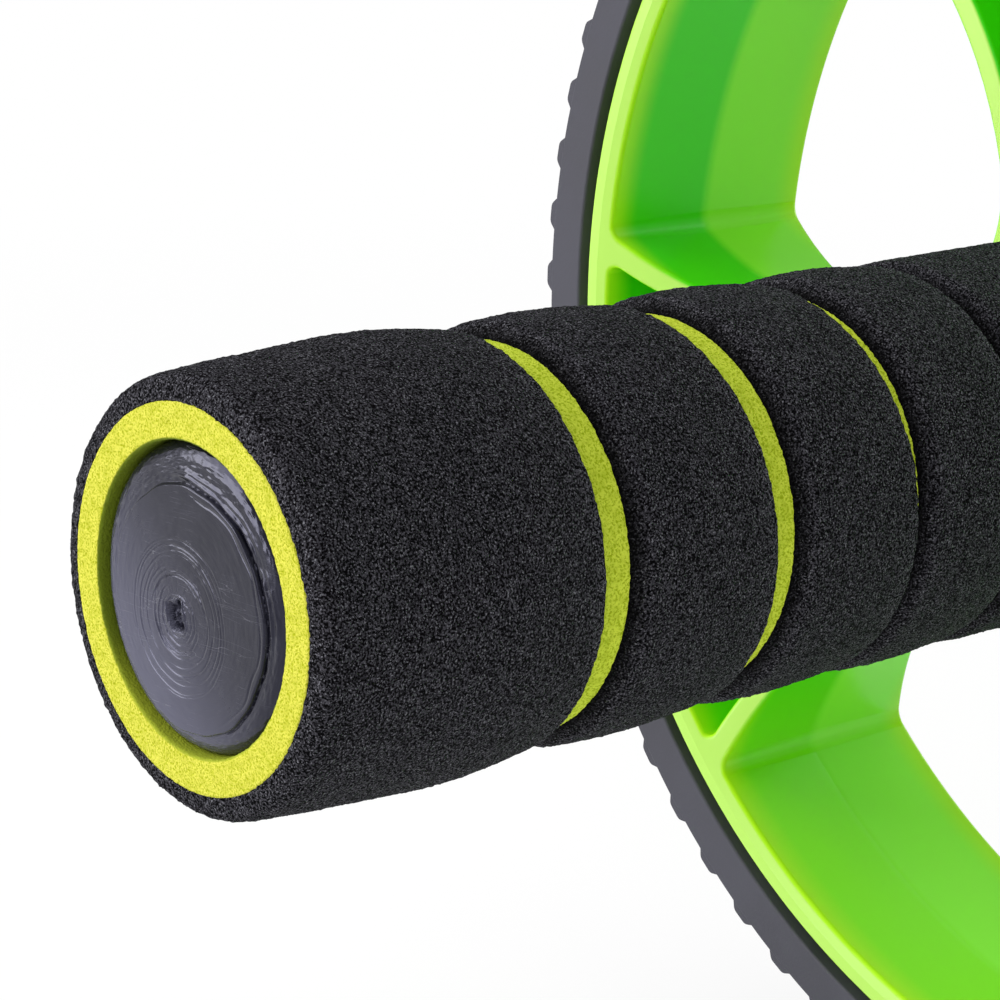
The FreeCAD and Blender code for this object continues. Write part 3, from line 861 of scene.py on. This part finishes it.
@dataclass
class FoamGrip:
    """One foam grip: a lime core whose ring grooves and end show through a black skin, in mm."""

    side: Side
    seed: int
    half_length: float = 133.6
    length: float = 112.0
    bore: float = 12.8
    core: float = 17.1
    end_ring: tuple[Corner, ...] = (
        Corner(3.2, 12.8),
        Corner(0.0, 12.8, 0.3),
        Corner(0.0, 15.9, 0.1),
        Corner(1.2, 15.96),
    )
    lips: tuple[float, ...] = (28.0, 47.5, 65.0, 80.5)
    stripe_ends: tuple[float, ...] = (31.5, 50.8, 66.6, 81.75)
    stripe_depth: float = 0.5
    stripe_lead: float = 0.6
    stripe_wall: float = 0.35
    stripe_round: float = 0.3
    rise_past: float = 0.1
    rise_round: float = 0.6
    stripe_tail: float = 0.9
    wall_run: float = 0.45
    lip: float = 18.3
    lip_round: float = 0.5
    crown: float = 18.85
    crown_round: float = 60.0
    shoulder: float = 18.55
    shoulder_run: float = 1.4
    shoulder_round: float = 1.5
    tail_round: float = 0.9
    nose: tuple[Corner, ...] = (
        Corner(0.7, 15.82),
        Corner(0.0, 15.86, 0.12),
        Corner(0.4, 18.0, 1.5),
        Corner(5.0, 18.4, 8.0),
        Corner(20.0, 19.25, 60.0),
    )
    sunk: float = 0.12
    lean_at: tuple[float, ...] = (0.0, 31.5, 47.5, 50.8, 65.0, 66.6, 80.5)
    lean_x: tuple[float, ...] = (0.0, 0.1, 0.33, -0.05, 0.45, -0.09, 0.0)
    lean_z: tuple[float, ...] = (0.0, 0.0, -0.70, -0.03, -0.6, 0.43, 0.0)
    step: float = 0.21
    columns: int = 560
    grain: float = 0.026
    fuzz: float = 0.020
    waves: float = 0.016
    wave_rounds: int = 14
    pores: float = 0.045
    pore_from: float = 1.7
    pore_most: float = 1.5
    fade_rows: float = 3.0
    core_seed: int = 50
    core_grain: float = 0.45
    # painted shade at a band's start in a groove and painted highlight towards its lip
    groove_painted_shade_tone: float = 0.03
    groove_painted_shade_run: float = 1.40
    lip_painted_highlight_tone: float = 1.6
    lip_painted_highlight_run: float = 2.2

    def places(self, depth: Grid, radius: Grid) -> Grid:
        """Turn depths and radii into places on the part.

        Args:
            depth: Depth from the grip's end by row and column, in mm.
            radius: Radius by row and column, in mm.

        Returns:
            Places in metres, on this grip's side.
        """
        angle = round_angles(self.columns)[None]
        lean = np.interp(depth, self.lean_at, self.lean_x) * np.cos(angle)
        lean = lean + np.interp(depth, self.lean_at, self.lean_z) * np.sin(angle)
        along = depth + lean - self.half_length
        place = np.stack([radius * np.cos(angle), along, radius * np.sin(angle)], -1)
        return place * MM * self.side.turn

    def grained(self, line: Grid, mask: Grid, seed: int, strength: float = 1.0) -> Grid:
        """Roughen a turned outline as ground foam.

        Args:
            line: Points of the outline, depth and radius in mm.
            mask: How much of the grain each point takes.
            seed: Seed of the grain.
            strength: Share of the full grain.

        Returns:
            Places by row and column, in metres.
        """
        draw = np.random.default_rng(seed)
        shape = (len(line), self.columns)
        fine = softened(draw.standard_normal(shape), 1)
        broad = softened(draw.standard_normal(shape), self.wave_rounds)
        pits = softened(draw.standard_normal(shape), 1)
        pits = np.clip(pits - self.pore_from, 0.0, self.pore_most)
        lift = self.grain * fine + self.waves * broad - self.pores * pits
        lift = lift + self.fuzz * draw.standard_normal(shape)
        lift = lift * mask[:, None] * strength
        normals = line_normals(line)
        return self.places(line[:, :1] + lift * normals[:, :1], line[:, 1:] + lift * normals[:, 1:])

    def band_line(self, number: int) -> Grid:
        """Draw the outer line of one black band.

        Args:
            number: Place of the band, counted from the grip's end.

        Returns:
            Points of the line, depth and radius in mm.
        """
        foot = self.core - self.sunk
        corners = list(self.nose)
        if number > 0:
            start = self.stripe_ends[number - 1]
            shoulder = Corner(start + self.shoulder_run, self.shoulder, self.shoulder_round)
            corners = [Corner(start, foot), shoulder]
        if number == len(self.lips):
            corners += [Corner(self.length, self.crown, self.tail_round), Corner(self.length, foot)]
        else:
            lip = self.lips[number]
            if number > 0:
                corners.append(Corner((corners[0].depth + lip) / 2, self.crown, self.crown_round))
            corners += [Corner(lip, self.lip, self.lip_round), Corner(lip + self.wall_run, foot)]
        return rounded_line(corners, self.step)

    def painted_groove_shade_and_lip_highlight(self, number: int, depth: Grid) -> Grid:
        """Paint shade and a highlight on a band: painted shade where it starts in a cut groove, a painted
        highlight towards its lip.

        Args:
            number: Place of the band, counted from the grip's end.
            depth: Depth of each point of the band's line, in mm.

        Returns:
            Share of the foam's own tone at each point.
        """
        shade = np.ones_like(depth)
        # painted shade, darkest at the groove and fading over the run
        if number > 0:
            share = np.clip((depth - self.stripe_ends[number - 1]) / self.groove_painted_shade_run, 0.0, 1.0)
            shade = self.groove_painted_shade_tone + (1.0 - self.groove_painted_shade_tone) * share * share * (3.0 - 2.0 * share)
        # painted highlight, paler over the last run before the lip
        if number < len(self.lips):
            wear_and_highlight = np.clip((depth - self.lips[number]) / self.lip_painted_highlight_run + 1.0, 0.0, 1.0)
            shade = shade * (1.0 + (self.lip_painted_highlight_tone - 1.0) * wear_and_highlight)
        return shade

    def build_band(self, number: int) -> None:
        """Build one black band.

        Args:
            number: Place of the band, counted from the grip's end.
        """
        line = self.band_line(number)
        rows = np.arange(len(line))
        mask = np.minimum(1.0, np.minimum(rows, rows[::-1]) / self.fade_rows)
        node = f"grip_band_{self.side.value}_{number + 1}"
        piece = skin(f"{node}_foam", self.grained(line, mask, self.seed + number), closed=True)
        # store the painted shade and highlight for the black foam's material
        shade = piece.data.attributes.new(PAINTED_SHADE_AND_HIGHLIGHT, "FLOAT", "POINT")
        shade.data.foreach_set("value", np.repeat(self.painted_groove_shade_and_lip_highlight(number, line[:, 0]), self.columns))
        self.settle(piece, node, BlackFoam())

    def core_line(self) -> tuple[Grid, Grid]:
        """Draw the lime core's closed outline.

        Returns:
            Points of the outline, depth and radius in mm, and which of them show.
        """
        shown = [rounded_line(self.end_ring, self.step)]
        for lip, stripe_end in zip(self.lips, self.stripe_ends):
            foot = lip + self.wall_run
            groove = [
                Corner(lip - self.stripe_lead, self.core),
                Corner(foot, self.core, self.stripe_round),
                Corner(foot + self.stripe_wall, self.core - self.stripe_depth, self.stripe_round),
                Corner(stripe_end + self.rise_past, self.core, self.rise_round),
                Corner(stripe_end + self.stripe_tail, self.core),
            ]
            shown.append(rounded_line(groove, self.step))
        tail = np.array([(self.length, self.core), (self.length, self.bore)])
        line = np.concatenate([*shown, tail])
        return line, (np.arange(len(line)) < len(line) - len(tail)).astype(float)

    def build_core(self) -> None:
        """Build the lime core with its end ring, bore and grooves."""
        line, shown = self.core_line()
        node = f"grip_sleeve_{self.side.value}"
        points = self.grained(line, shown, self.seed + self.core_seed, self.core_grain)
        self.settle(skin(f"{node}_foam", points, closed=True), node, LimeFoam())

    def settle(self, piece: Piece, node: str, finish: Finish) -> None:
        stand_in(piece, node, finish)

    def build(self) -> None:
        """Build the core and every band."""
        self.build_core()
        for number in range(len(self.lips) + 1):
            self.build_band(number)


# Handle tubes


class EndGrid(NamedTuple):
    """Points of a tube's end: place across and upwards, distance and direction from the gate."""

    x: Grid
    z: Grid
    from_gate: Grid
    bearing: Grid


@dataclass(frozen=True)
class RaisedDisc:
    """Off-centre raised disc on a tube's end, folded along one side, in mm."""

    centre: Range = (-0.3, -0.9)
    radius: float = 10.15
    rise: float = 0.28
    edge: float = 0.22
    wobble: tuple[Wave, ...] = (Wave(0.10, 3, 0.6), Wave(0.07, 7, 2.1), Wave(0.04, 17))
    fold_way: float = 0.25
    fold_gain: float = 1.5
    crease: Fold = Fold(0.10, 0.09, 0.18)
    inner_line: Fold = Fold(-0.55, 0.10, 0.05, (Wave(-0.12, 11),))
    bead_way: float = 0.9
    bead_gain: float = 1.8
    bead_cut: float = 0.5
    bead: Fold = Fold(0.60, 0.24, 0.13, (Wave(0.16, 4, 0.5),))
    wrinkle: Fold = Fold(1.20, 0.18, 0.07, (Wave(0.2, 3, 1.0),))
    streaks: tuple[Wave, ...] = (Wave(0.5, 5, 1.2), Wave(0.35, 9, 0.4), Wave(0.25, 21))

    def past(self, at: EndGrid) -> tuple[Grid, Grid]:
        """Give the distance past the disc's round edge and the direction from its centre."""
        across, upward = at.x - self.centre[0], at.z - self.centre[1]
        return np.hypot(across, upward) - self.radius, np.arctan2(upward, across)

    def lift(self, at: EndGrid) -> Grid:
        """Raise the disc and fold its edge.

        Args:
            at: The points of the end.

        Returns:
            Height over the end face, in mm.
        """
        past, turn = self.past(at)
        past = past - ripple(turn, self.wobble)
        rise = np.clip(0.5 - past / self.edge, 0.0, 1.0)
        side = np.clip(np.cos(turn - self.fold_way) * self.fold_gain, 0.0, 1.0)
        upper = np.clip(np.cos(turn - self.bead_way) * self.bead_gain - self.bead_cut, 0.0, 1.0)
        lift = self.rise * rise * rise * (3 - 2 * rise)
        lift = lift - side * (self.crease.lift(past, turn) + self.inner_line.lift(past, turn))
        beads = self.bead.lift(past, turn) + self.wrinkle.lift(past, turn)
        return lift + upper * ripple(turn, self.streaks, 1.0) * beads


@dataclass(frozen=True)
class FlowLines:
    """Fine swirl lines that run round the gate, in mm."""

    first: float = 1.5
    pitch: float = 0.22
    count: int = 24
    depth: float = 0.085
    width: float = 0.075
    reach: Range = (0.7, 2.4)
    bend: Range = (0.0, 6.0)
    jitter: Range = (-0.3, 0.3)
    share: Range = (0.4, 1.0)
    lean: Wave = Wave(0.26, 1, 2.4)
    waves: tuple[Wave, ...] = (Wave(0.10, 2), Wave(0.03, 9))
    fade: float = 0.5
    thinning: float = 0.6
    lip: float = 0.12
    lip_share: float = 0.5

    def lift(self, draw: Draw, at: EndGrid) -> Grid:
        """Cut the lines, each with a low lip beside it.

        Args:
            draw: Seeded source of the lines' places.
            at: The points of the end.

        Returns:
            Height over the end face, in mm.
        """
        lift = np.zeros_like(at.x)
        for number in range(self.count):
            middle = draw.uniform(-math.pi, math.pi)
            reach = draw.uniform(*self.reach)
            bend = draw.uniform(*self.bend)
            line = self.first + self.pitch * (number + draw.uniform(*self.jitter))
            strength = self.depth * draw.uniform(*self.share)
            strength = strength * (1.0 - self.thinning * number / self.count)
            waves = [self.lean, *(wave._replace(start=bend) for wave in self.waves)]
            off = at.from_gate - ripple(at.bearing, waves, line)
            away = np.abs((at.bearing - middle + math.pi) % (2 * math.pi) - math.pi)
            shown = strength * np.clip((reach - away) / self.fade, 0.0, 1.0)
            lift = lift - shown * ridge(off, self.width)
            lift = lift + self.lip_share * shown * ridge(off - self.lip, self.width)
        return lift


@dataclass(frozen=True)
class GateMark:
    """Small ragged crater where the moulding gate was cut off, in mm."""

    place: Range = (-1.75, -1.65)
    radius: float = 1.25
    depth: float = 0.45
    waves: int = 6
    ragged: float = 0.2
    wall: float = 0.4
    rough: float = 0.11
    rough_rounds: int = 2
    rough_run: float = 0.5
    rough_least: float = 0.2
    stub_at: Range = (0.05, 0.02)
    stub_radius: float = 0.64
    stub_power: int = 4
    stub_height: float = 0.37
    stub_rough: float = 0.40
    burr: Fold = Fold(0.12, 0.16, 0.07)
    burr_wave: Wave = Wave(0.7, 2, 1.0)

    def lift(self, draw: Draw, at: EndGrid) -> Grid:
        """Tear the crater, with the stub in it and the burr round it.

        Args:
            draw: Seeded source of the roughness.
            at: The points of the end.

        Returns:
            Height over the end face, in mm.
        """
        ragged = np.full_like(at.x, self.radius)
        for count in range(1, self.waves + 1):
            wave = Wave(self.ragged / count**0.5, count, draw.uniform(0.0, 2 * math.pi))
            ragged = ripple(at.bearing, [wave], ragged)
        pit = np.clip((ragged - at.from_gate) / self.wall, 0.0, 1.0)
        rough = softened(draw.standard_normal(at.x.shape), self.rough_rounds)
        rough = rough * np.clip(at.from_gate / self.rough_run, self.rough_least, 1.0)
        across, upward = at.x - self.place[0] - self.stub_at[0], at.z - self.place[1] - self.stub_at[1]
        stub = ridge(np.hypot(across, upward), self.stub_radius, self.stub_power)
        burr = self.burr.lift(at.from_gate - ragged, at.bearing)
        lift = self.stub_height * stub * (1 + self.stub_rough * rough)
        lift = lift + burr * ripple(at.bearing, [self.burr_wave], 1.0)
        return lift - pit * (self.depth + self.rough * rough)


@dataclass
class HandleTube:
    """Black handle tube with a moulded end, in mm."""

    side: Side
    half_length: float = 133.6
    length: float = 112.0
    outer: float = 12.8
    inner: float = 10.0
    recess: float = 0.45
    end_wall: float = 3.4
    edge_round: float = 1.7
    wall_start: float = 3.0
    floor_ring: float = 0.5
    sharp_from: float = 60.0
    disc: RaisedDisc = RaisedDisc()
    flow: FlowLines = FlowLines()
    gate: GateMark = GateMark()
    uneven: float = 0.004
    uneven_rounds: int = 10
    brush_reaches: tuple[int, ...] = (1, 2, 4, 8, 16)
    brush_depth: float = 0.0022
    peel_depth: float = 0.011
    peel_rounds: int = 2
    peel_run: float = 0.4
    skin_fade: float = 0.3
    columns: int = 400
    rings: int = 220
    ring_crowding: float = 0.9
    seed: int = 71

    def end_face(self) -> Grid:
        """Model the end face as a height over the disc.

        Returns:
            Places by ring and column: X, depth from the grip's end and Z, in mm.
        """
        draw = np.random.default_rng(self.seed)
        angle = round_angles(self.columns)[None]
        share = (np.linspace(0.0, 1.0, self.rings) ** self.ring_crowding)[:, None]
        radius = share * self.outer
        x = radius * np.cos(angle) + (1.0 - share) * self.gate.place[0]
        z = radius * np.sin(angle) + (1.0 - share) * self.gate.place[1]
        across, upward = x - self.gate.place[0], z - self.gate.place[1]
        at = EndGrid(x, z, np.hypot(across, upward), np.arctan2(upward, across))
        over = np.clip(np.hypot(x, z) - (self.outer - self.edge_round), 0.0, self.edge_round)
        depth = np.full_like(x, self.recess)
        depth = depth + self.edge_round - np.sqrt(np.maximum(self.edge_round**2 - over**2, 0.0))
        uneven = softened(draw.standard_normal(x.shape), self.uneven_rounds)
        lift = self.disc.lift(at) + self.flow.lift(draw, at) + self.uneven * uneven
        lift = lift + self.gate.lift(draw, at)
        lift = lift + self.skin_marks(draw, at)
        return np.stack([x, depth - lift, z], -1)

    def skin_marks(self, draw: Draw, at: EndGrid) -> Grid:
        """Brush the raised disc round its gate and roughen the ring outside it.

        Args:
            draw: Seeded source of the marks.
            at: The points of the end.

        Returns:
            Height over the end face, in mm.
        """
        brushed = draw.standard_normal(at.x.shape)
        for reach in self.brush_reaches:
            brushed = brushed + np.roll(brushed, reach, 1)
        brushed = brushed / brushed.std()
        peel = softened(draw.standard_normal(at.x.shape), self.peel_rounds)
        outside = np.clip(self.disc.past(at)[0] / self.peel_run, 0.0, 1.0)
        fade = np.clip((self.outer - np.hypot(at.x, at.z)) / self.skin_fade, 0.0, 1.0)
        return fade * (self.brush_depth * (1.0 - outside) * brushed + self.peel_depth * outside * peel)

    def build(self) -> None:
        """Build the tube with its end and dress it."""
        angle = round_angles(self.columns)
        ring = np.stack([np.cos(angle), np.zeros_like(angle), np.sin(angle)], -1)
        floor = self.recess + self.end_wall
        wall = [
            (self.outer, self.recess + self.edge_round + self.wall_start),
            (self.outer, self.length),
            (self.inner, self.length),
            (self.inner, floor),
            (self.inner * self.floor_ring, floor),
            (0.0, floor),
        ]
        rows = [ring * radius + np.array([0.0, depth, 0.0]) for radius, depth in wall]
        points = np.concatenate([self.end_face(), np.array(rows)])
        points = points - np.array([0.0, self.half_length, 0.0])
        node = f"handle_tube_{self.side.value}"
        piece = skin(f"{node}_moulding", points * MM * self.side.turn, closed=False)
        smooth_faces(piece, self.sharp_from)
        stand_in(piece, node, HandlePlastic())


# Solids that stay


@dataclass
class KeptSolids:
    """Solids whose shape is right and that only get their finish."""

    sharp_from: float = 28.0
    finishes: tuple[tuple[str, type[Finish]], ...] = (
        ("wheel_body", GreenPlastic),
        ("tyre", TreadRubber),
        ("axle_rod", AxleSteel),
        ("thrust_washer_", AxleSteel),
        ("hub_bush_", BushPlastic),
        ("handle_collar_", HandlePlastic),
        ("axle_socket_", HandlePlastic),
    )

    def build(self) -> None:
        """Dress every solid that is named here."""
        for name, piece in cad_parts.items():
            for start, finish in self.finishes:
                if name.startswith(start):
                    dress(piece, finish())
                    smooth_faces(piece, self.sharp_from)
                    LOG.info("%s: %s", name, finish.label)


# Studio


@dataclass
class SoftBox:
    """One large soft lamp."""

    name: str
    place: Place
    size: Range
    watts: float
    aim: Place = (0.0, -0.03, 0.0)

    def build(self) -> None:
        """Hang the lamp and aim it at the part."""
        lamp = bpy.data.lights.new(self.name, "AREA")
        lamp.shape = "RECTANGLE"
        lamp.size, lamp.size_y = self.size
        lamp.energy = self.watts
        holder = bpy.data.objects.new(self.name, lamp)
        holder.location = self.place
        way = Vector(self.aim) - Vector(self.place)
        holder.rotation_mode = "QUATERNION"
        holder.rotation_quaternion = way.to_track_quat("-Z", "Y")
        bpy.context.scene.collection.objects.link(holder)
        LOG.info("lamp %s", self.name)


@dataclass
class Studio:
    """White paper, soft lamps and the camera of the photograph."""

    floor_size: float = 12.0
    sky: float = 0.44
    lens: float = 108.0
    sensor: float = 36.0
    clip: Range = (0.01, 50.0)
    eye: Place = (0.1901094, -0.2633, 0.06031174)
    right: Place = (0.64906788, 0.7607, -0.00645738)
    up: Place = (-0.16661365, 0.1503, 0.97450573)
    shift: Range = (0.004, 0.004)
    lamps: tuple[SoftBox, ...] = (
        SoftBox("key_box", (-0.60, -0.80, 0.75), (0.8, 0.8), 6.9),
        SoftBox("low_box", (-0.62, -0.90, 0.17), (0.6, 0.46), 5.4),
        SoftBox("fill_box", (0.70, -0.70, 0.40), (0.6, 0.6), 1.7),
        SoftBox("overhead_box", (-0.1, 0.1, 1.2), (1.0, 1.0), 3.0),
        SoftBox("back_box", (0.15, 1.2, 0.35), (0.9, 0.9), 6.0),
    )

    def build_floor(self) -> None:
        """Lay the paper under the wheel."""
        half = self.floor_size / 2
        level = CAD_BOX[0].z
        mesh = bpy.data.meshes.new("paper_floor")
        corners = [(-half, -half, level), (half, -half, level), (half, half, level), (-half, half, level)]
        mesh.from_pydata(corners, [], [(0, 1, 2, 3)])
        floor = bpy.data.objects.new("paper_floor", mesh)
        bpy.context.scene.collection.objects.link(floor)
        dress(floor, StudioPaper())
        LOG.info("paper floor")

    def build_sky(self) -> None:
        """Set an even white surround, seen as white and lighting at its own level."""
        world = bpy.data.worlds.new("studio_sky")
        bpy.context.scene.world = world
        world.use_nodes = True
        wire = Wiring(world.node_tree)
        back = world.node_tree.nodes["Background"]
        back.inputs["Color"].default_value = WHITE
        path = wire.add("ShaderNodeLightPath").outputs
        seen = wire.math("MAXIMUM", path["Is Camera Ray"], path["Is Transmission Ray"])
        wire.feed(back, {"Strength": wire.spread(seen, 0.0, 1.0, self.sky, 1.0)})
        LOG.info("sky")

    def build_camera(self) -> None:
        """Stand the camera where the photograph was taken."""
        lens = bpy.data.cameras.new("photograph_camera")
        lens.lens, lens.sensor_width = self.lens, self.sensor
        lens.clip_start, lens.clip_end = self.clip
        lens.shift_x, lens.shift_y = self.shift
        camera = bpy.data.objects.new("photograph_camera", lens)
        right, up = Vector(self.right).normalized(), Vector(self.up).normalized()
        turn = Matrix((right, up, right.cross(up))).transposed().to_4x4()
        camera.matrix_world = Matrix.Translation(Vector(self.eye)) @ turn
        bpy.context.scene.collection.objects.link(camera)
        bpy.context.scene.camera = camera
        LOG.info("camera")

    def build(self) -> None:
        """Build the whole studio."""
        self.build_camera()
        self.build_floor()
        self.build_sky()
        for lamp in self.lamps:
            lamp.build()
        bpy.context.scene.view_settings.view_transform = "Standard"


def main() -> None:
    """Build every piece in order."""
    logging.basicConfig(level=logging.INFO, format="%(name)s %(message)s")
    Studio().build()
    KeptSolids().build()
    for side in Side:
        HandleTube(side).build()
        FoamGrip(side, side.grip_seed).build()


if __name__ == "__main__":
    main()
